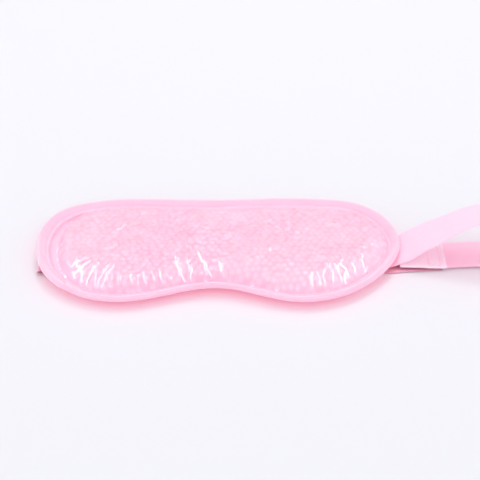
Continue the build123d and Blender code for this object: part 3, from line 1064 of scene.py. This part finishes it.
def build_loop_strap():
    """The loop tape: sewn under the rim, turned under the mask and run beneath it."""
    low, high = node_span("loop_strap")
    axis = joint_point("loop_strap_swing")
    _, sewn_high = node_span("loop_strap_sewn_end")
    middle = (low[1] + high[1]) / 2
    bottom, below_turn = 0.6, 1.4  # the tape's level on the table, and where it leaves its turn
    inner, outer = sewn_high[0] - 0.5, axis[0] + 0.2
    top = under_rim(outer)
    half, centre = (top - below_turn) / 2, (top + below_turn) / 2
    turn = [
        (outer - TURN_BULGE * math.sin(a), middle, centre + half * math.cos(a), 0)
        for a in np.linspace(math.pi / 6, math.pi, 8)
    ]
    knots = [(inner, middle, under_rim(inner), 0), (outer, middle, top, 0)] + turn + [
        (axis[0] + 7, middle + 0.1, 0.9, 0),
        (axis[0] + 20, middle + 0.3, bottom, 0),
        (0, middle + 1.2, bottom, 0),
        (high[0] - 40, middle + 1.3, bottom, 0),
        (high[0] - 18, middle + 2.6, bottom, 0),
        (high[0], middle + 4.1, bottom, 0),
    ]
    loop = lay_ribbon(knots, LOOP_STATIONS, STRAP_WIDTH, 1.0)
    left = loop.path[:, 0].argmin()
    sewn = np.flatnonzero(loop.path[:left, 0] > outer)[-1]
    split = left + np.flatnonzero(loop.path[left:, 0] > outer + 3.4)[0]
    flat = part_of(loop, split, LOOP_STATIONS - 1)
    shape = ribbon_mesh(part_of(loop, 0, sewn), *LOOP_RIBS)
    nodes = ["loop_strap_sewn_end"]
    mesh_piece("loop_tape_sewn_end", shape, LOOP_CLOTH, "mask", nodes)
    shape = ribbon_mesh(flat, *LOOP_RIBS)
    mesh_piece("loop_tape", shape, LOOP_CLOTH, "loop_strap", ["loop_strap"])
    shape = ribbon_mesh(part_of(loop, sewn, split), *LOOP_RIBS)
    turned = mesh_piece("loop_tape_turn", shape, LOOP_CLOTH, None)
    blend_piece(turned)

    rng = np.random.default_rng(71)
    x = rng.uniform(flat.path[0, 0] + 1, flat.path[-1, 0] - 0.6, LOOP_TUFTS)
    across = rng.uniform(-10.6, 10.6, LOOP_TUFTS)
    clouds = []
    for face in (1, -1):
        roots, out = on_ribbon(flat, x, across, face, -0.06)
        clouds.append(tufts(roots, out, 0.16, 0.13, 72 + face))
    mesh_piece("loop_pile", join_meshes(clouds), LOOP_CLOTH, "loop_strap")
    bar_tack("loop_bar_tack_stitches", part_of(loop, 0, sewn), "loop_strap_bar_tack")


def build_hook_tape():
    """The hook tape lapped over the end of the elastic: hemmed, box stitched, hooks below."""
    low, high = node_span("hook_tape")
    level = high[2] - 0.25
    knots = [
        (low[0] - 4.2, -0.7, level + 0.1, -1),
        (low[0] + 8, -1.1, level, -1),
        (high[0] - 9, -1.3, level, 0),
        (high[0], -1.4, level, 0),
    ]
    tape = lay_ribbon(knots, HOOK_STATIONS, STRAP_WIDTH + 0.6, 0.5)
    shape = ribbon_mesh(tape, *HOOK_RIBS, hem=0.35)
    mesh_piece("hook_tape_cloth", shape, HOOK_CLOTH, "closure_end", ["hook_tape"])

    box_low, _ = node_span("hook_tape_box_stitch")
    left, right = box_low[0], high[0] - 3.4
    near, far = -9.2, 9.2
    corners = [(left, near), (right, near), (right, far), (left, far), (left, near)]
    rows = list(zip(corners[:-1], corners[1:])) + [((right + 1.5, near), (right + 1.5, far))]
    sewn = []
    for (x0, y0), (x1, y1) in rows:
        line, out = on_ribbon(tape, np.linspace(x0, x1, 12), np.linspace(y0, y1, 12))
        sewn.append(stitch_row(line, out, 1.9, 1.5))
    nodes = ["hook_tape_box_stitch"]
    mesh_piece("hook_tape_stitches", join_meshes(sewn), THREAD, "closure_end", nodes)

    columns, rows = np.arange(low[0], HOOKS_TO_X, HOOK_PITCH), np.arange(-10, 10.1, HOOK_PITCH)
    x, across = np.meshgrid(columns, rows)
    roots, out = on_ribbon(tape, x, across, -1, -0.05)
    tips = roots + out * 0.35 + (0.22, 0, 0)
    shape = stitches(roots, tips, np.cross(out, (0, 1.0, 0)), 0.09)
    mesh_piece("hook_tape_hooks", shape, HOOK_CLOTH, "closure_end")


# ---- Stage ----------------------------------------------------------------------------------

ROOM_STRENGTH = 0.97
WINDOW_STRENGTH = 10.0
NEAR_SIDE = 0.33  # how much brighter the room is towards the camera than overhead


def build_world():
    """A bright room, with windows at both sides that only glossy surfaces pick up."""
    world = bpy.data.worlds.new("studio")
    bpy.context.scene.world = world
    world.use_nodes = True
    tree = world.node_tree
    way = add_node(tree, "ShaderNodeTexCoord").outputs["Generated"]
    x, y, z = add_node(tree, "ShaderNodeSeparateXYZ", Vector=way).outputs
    window = add_node(tree, "ShaderNodeLightPath").outputs["Is Glossy Ray"]
    sideways = maths(tree, "ABSOLUTE", x)
    for direction, dark, bright in (
        (sideways, 0.42, 0.48),
        (y, 0.80, 0.76),
        (y, -0.75, -0.6),
        (z, 0.08, 0.15),
    ):
        window = maths(tree, "MULTIPLY", window, map_range(tree, direction, dark, bright))
    room = maths(tree, "MULTIPLY_ADD", window, WINDOW_STRENGTH, ROOM_STRENGTH)
    towards = maths(tree, "MULTIPLY_ADD", y, -NEAR_SIDE, 1.0)
    strength = maths(tree, "MULTIPLY", room, towards)
    set_inputs(tree, tree.nodes["Background"], Color=(0.98, 0.98, 1.0), Strength=strength)


def add_object(name, data, place, target=None):
    """An object at a place in metres, turned towards its target if it has one."""
    item = bpy.data.objects.new(name, data)
    item.location = place
    if target:
        item.rotation_euler = (Vector(target) - item.location).to_track_quat("-Z", "Y").to_euler()
    bpy.context.scene.collection.objects.link(item)
    return item


def build_stage():
    """Pale floor, soft light from above and behind, and the camera."""
    material, tree, shader = new_material("studio_floor")
    set_inputs(tree, shader, Base_Color=(0.80, 0.795, 0.835), Roughness=0.9, Specular_IOR_Level=0.1)
    bpy.ops.mesh.primitive_plane_add(size=8)
    floor = bpy.context.object
    floor.name = "floor"
    floor.data.materials.append(material)

    build_world()
    for name, place, size, power in (
        ("softbox_back", (0.15, 0.45, 1.2), 0.4, 2.6),
        ("softbox_top", (-0.3, 0.0, 1.3), 0.4, 1.2),
    ):
        light = bpy.data.lights.new(name, "AREA")
        light.size = size
        light.energy = power
        add_object(name, light, place, (0, 0, 0))

    target = Vector((11.6, 6.0, 8.0)) * MM
    elevation, distance = math.radians(37), 0.6257
    away = Vector((0, -math.cos(elevation), math.sin(elevation)))
    camera = bpy.data.cameras.new("camera")
    camera.lens = 85
    camera.sensor_width = 36
    camera.clip_start = 0.01
    camera.dof.use_dof = True
    camera.dof.focus_object = add_object("focus", None, Vector((0, -36, 8)) * MM)
    camera.dof.aperture_fstop = 5.6
    bpy.context.scene.camera = add_object("camera", camera, target + distance * away, target)

    bpy.context.scene.view_settings.view_transform = "Standard"


build_pack()
build_plush()
build_binding()
build_elastic()
build_loop_strap()
build_hook_tape()
build_stage()
